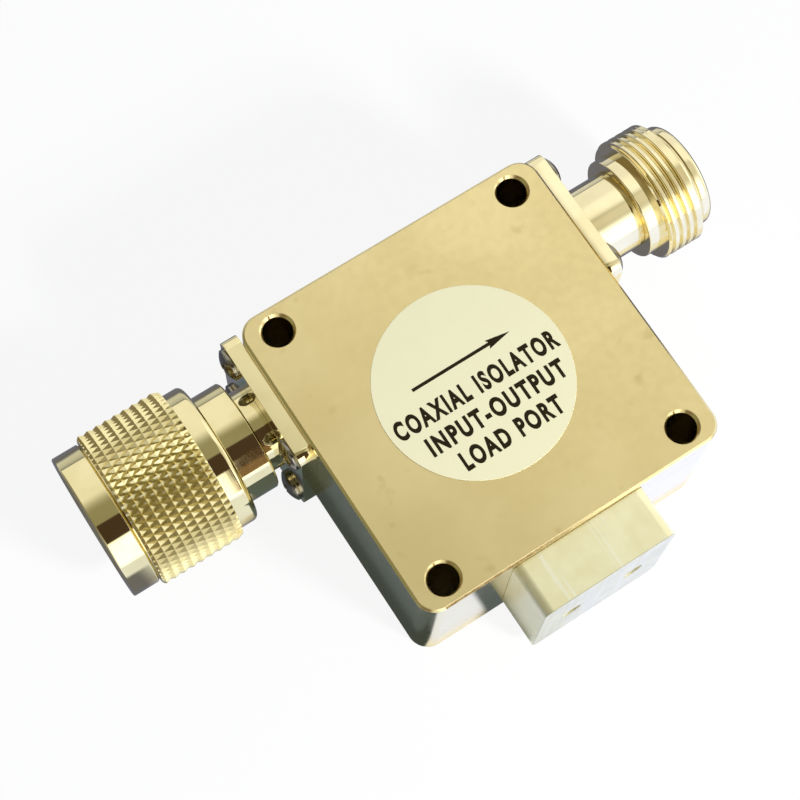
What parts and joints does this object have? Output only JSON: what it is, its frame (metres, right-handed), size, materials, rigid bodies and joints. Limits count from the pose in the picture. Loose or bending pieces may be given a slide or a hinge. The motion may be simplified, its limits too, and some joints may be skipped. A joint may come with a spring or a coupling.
{
  "type": "coaxial isolator",
  "caption": "Square microwave isolator with a coaxial plug, a coaxial jack and a side load block; signal passes one way only.",
  "frame": {"origin": "centre of the mounting face under the bottom cover", "axes": "+X from the plug to the jack along the signal, +Z out of the label face, load block on the -Y side"},
  "size_m": [0.0828, 0.0475, 0.0201],
  "materials": {
    "gold_plated_steel": "satin pale gold chromate plating over steel",
    "plated_brass": "bright pale gold plating on turned brass",
    "contact_gold": "gold plating",
    "chromated_aluminium": "satin, pale yellow conversion coat",
    "ring_aluminium": "as turned",
    "screw_steel": "bright stainless steel",
    "spring_steel": "bright spring bronze or steel",
    "label_film": "smooth satin film",
    "fluoropolymer": "waxy white",
    "silicone_rubber": "matt",
    "silvered_strip": "silver plated copper",
    "load_ceramic": "fine ground ceramic with a dark film",
    "ferrite": "ground dark ferrite",
    "spacer_ceramic": "fired ceramic",
    "pole_steel": "ground mild steel",
    "magnet": "ground sintered magnet",
    "shunt_alloy": "rolled nickel steel"
  },
  "bodies": {
    "isolator": {"housing": "gold_plated_steel", "bottom_cover": "gold_plated_steel", "cover_screws": "screw_steel", "label": "label_film", "plug_shell": "plated_brass", "plug_screws": "screw_steel", "plug_bead": "fluoropolymer", "plug_pin": "contact_gold", "nut_ring": "spring_steel", "nut_gasket": "silicone_rubber", "jack_shell": "plated_brass", "jack_screws": "screw_steel", "jack_bead": "fluoropolymer", "jack_contact": "contact_gold", "load_block": "chromated_aluminium", "load_screws": "screw_steel", "load_bead": "fluoropolymer", "load_pin": "silvered_strip", "load_chip": "load_ceramic", "centre_conductor": "silvered_strip", "upper_ferrite": "ferrite", "lower_ferrite": "ferrite", "upper_spacer": "spacer_ceramic", "lower_spacer": "spacer_ceramic", "upper_pole": "pole_steel", "lower_pole": "pole_steel", "upper_magnet": "magnet", "lower_magnet": "magnet", "magnet_ring": "ring_aluminium", "upper_compensator": "shunt_alloy", "lower_compensator": "shunt_alloy", "clamp_plate": "pole_steel"},
    "nut": {"coupling_nut": "plated_brass"}
  },
  "joints": [
    {"name": "nut_spin", "type": "hinge", "parent": "isolator", "child": "nut", "pos_m": [-0.0362, 0.01125, 0.01], "axis": [1, 0, 0], "continuous": true}
  ]
}
